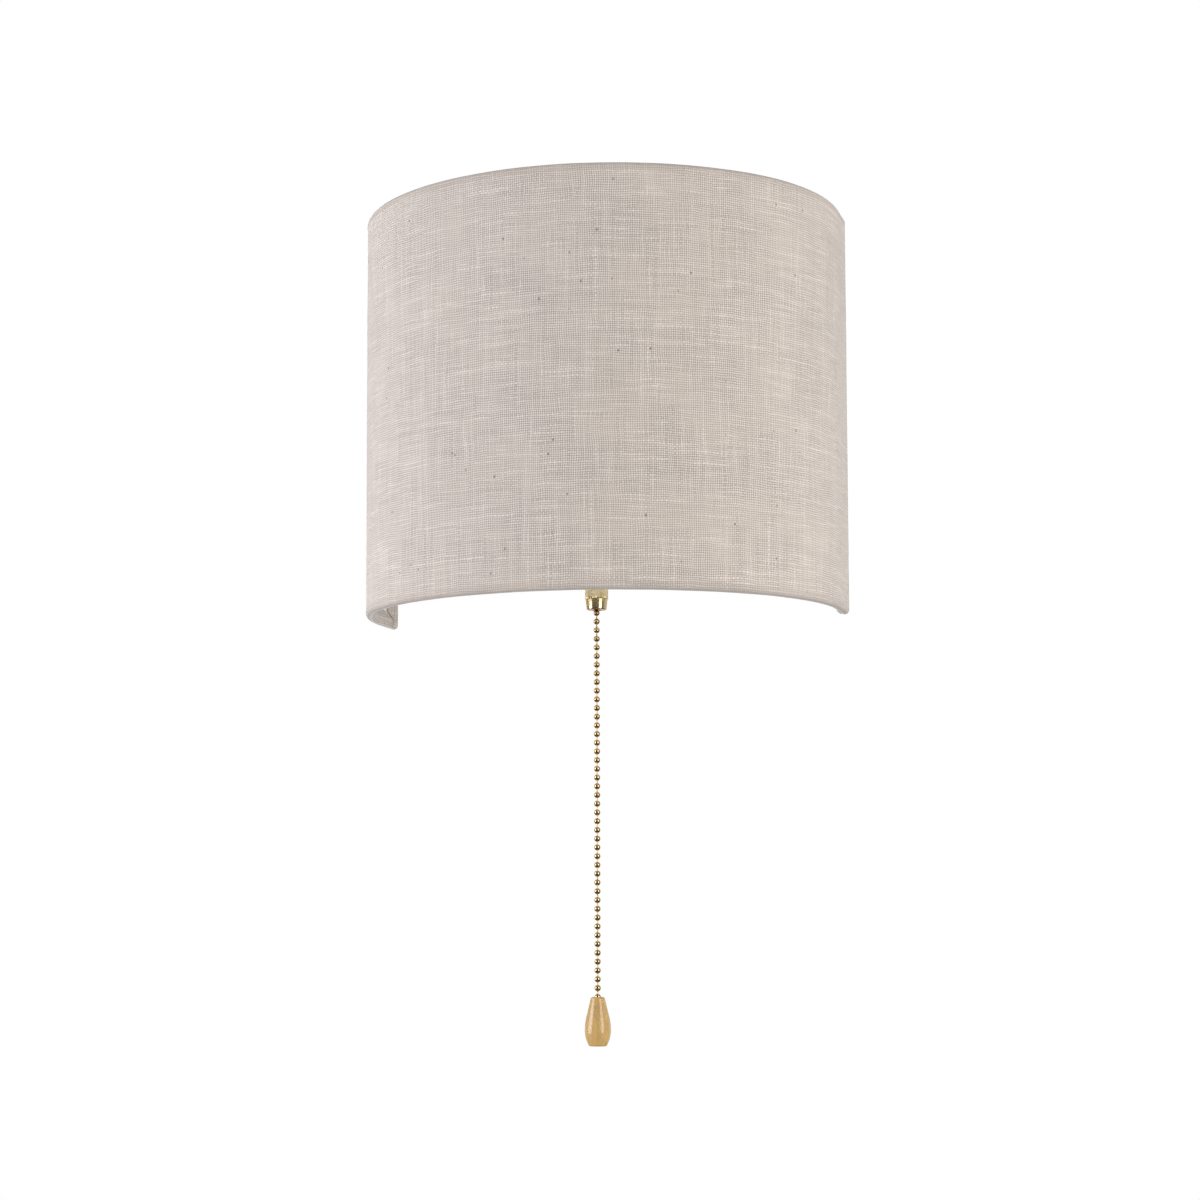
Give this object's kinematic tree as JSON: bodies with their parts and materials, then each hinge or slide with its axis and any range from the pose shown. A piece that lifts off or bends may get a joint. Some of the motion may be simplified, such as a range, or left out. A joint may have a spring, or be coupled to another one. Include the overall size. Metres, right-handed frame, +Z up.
{
  "type": "fabric shade wall light",
  "caption": "Wall light with a half-drum linen shade on a steel back plate and shelf, a bulb in a lampholder, and a ball-chain pull switch with a wooden knob.",
  "frame": {"origin": "middle of the mounting plate's back face, on the wall, between the two wall-screw slots", "axes": "+Z up, +Y into the wall, -Y out of the wall towards the room, +X to the right as the lamp is faced"},
  "size_m": [0.25, 0.137, 0.4282],
  "materials": {
    "linen": "natural off-white plain-weave linen",
    "liner": "matt ivory shade sheet",
    "wire": "white coated wire",
    "plate": "white powder coat",
    "grommet": "black rubber",
    "terminal": "pale moulded plastic",
    "steel": "zinc-plated steel",
    "brass": "polished brass",
    "earth": "brass earth hardware",
    "can": "plated drawn steel",
    "moulding": "dark moulded resin",
    "holder": "white glazed porcelain",
    "opal": "opal glass",
    "cap": "plain aluminium cap",
    "seal": "black glass insulator",
    "lead": "insulated lead",
    "knob": "lacquered honey-coloured wood"
  },
  "bodies": {
    "lamp": {"wall_plate": "plate", "cable_grommet": "grommet", "terminal_block": "terminal", "terminal_screws": "steel", "block_screw": "steel", "earth_screw": "earth", "earth_washer": "earth", "switch_can": "can", "switch_cover": "moulding", "switch_insulator": "moulding", "switch_tube": "brass", "switch_washer": "steel", "switch_nut": "brass", "switch_bell": "brass", "return_spring": "steel", "wheel_pin": "steel", "contact_strips": "brass", "holder_tube": "steel", "holder_washer": "steel", "holder_nut": "steel", "inner_nut": "steel", "holder_cap": "holder", "holder_body": "holder", "holder_screws": "brass", "screw_shell": "brass", "centre_contact": "brass", "lead_line": "lead", "lead_switched": "lead", "lead_neutral": "lead"},
    "shade": {"shade_cloth": "linen", "shade_liner": "liner", "top_wire": "wire", "bottom_wire": "wire", "frame_uprights": "wire", "back_wire": "wire", "hanger_wire": "wire"},
    "pull": {"plunger": "brass", "inner_beads": "brass", "inner_links": "brass", "top_link": "brass"},
    "wheel": {"ratchet_wheel": "moulding"},
    "swivel": {"first_bead": "brass"},
    "chain": {"first_link": "brass", "chain_beads": "brass", "chain_links": "brass", "knob_beads": "brass", "pull_knob": "knob"},
    "bulb": {"bulb_glass": "opal", "bulb_cap": "cap", "bulb_seal": "seal", "bulb_tip": "steel"}
  },
  "joints": [
    {"name": "shade_lift", "type": "slide", "parent": "lamp", "child": "shade", "axis": [0, 0, 1], "range_m": [0, 0.012]},
    {"name": "bulb_lift", "type": "slide", "parent": "lamp", "child": "bulb", "axis": [0, 0, 1], "range_m": [0, 0.034]},
    {"name": "chain_pull", "type": "slide", "parent": "lamp", "child": "pull", "axis": [0, 0, -1], "range_m": [0, 0.006], "stiffness_N_per_m": 600, "springref_m": -0.004, "deforming": ["return_spring"]},
    {"name": "wheel_turn", "type": "hinge", "parent": "lamp", "child": "wheel", "pos_m": [0, -0.039, -0.0385], "axis": [0, 1, 0], "range_deg": [0, 90]},
    {"name": "chain_swing_front", "type": "hinge", "parent": "pull", "child": "swivel", "pos_m": [0, -0.039, -0.0793], "axis": [1, 0, 0], "range_deg": [-35, 8]},
    {"name": "chain_swing_side", "type": "hinge", "parent": "swivel", "child": "chain", "pos_m": [0, -0.039, -0.0793], "axis": [0, 1, 0], "range_deg": [-35, 35]}
  ],
  "couplings": [
    {"joint": "wheel_turn", "follows": "chain_pull", "rad_per_m": 261.79}
  ]
}
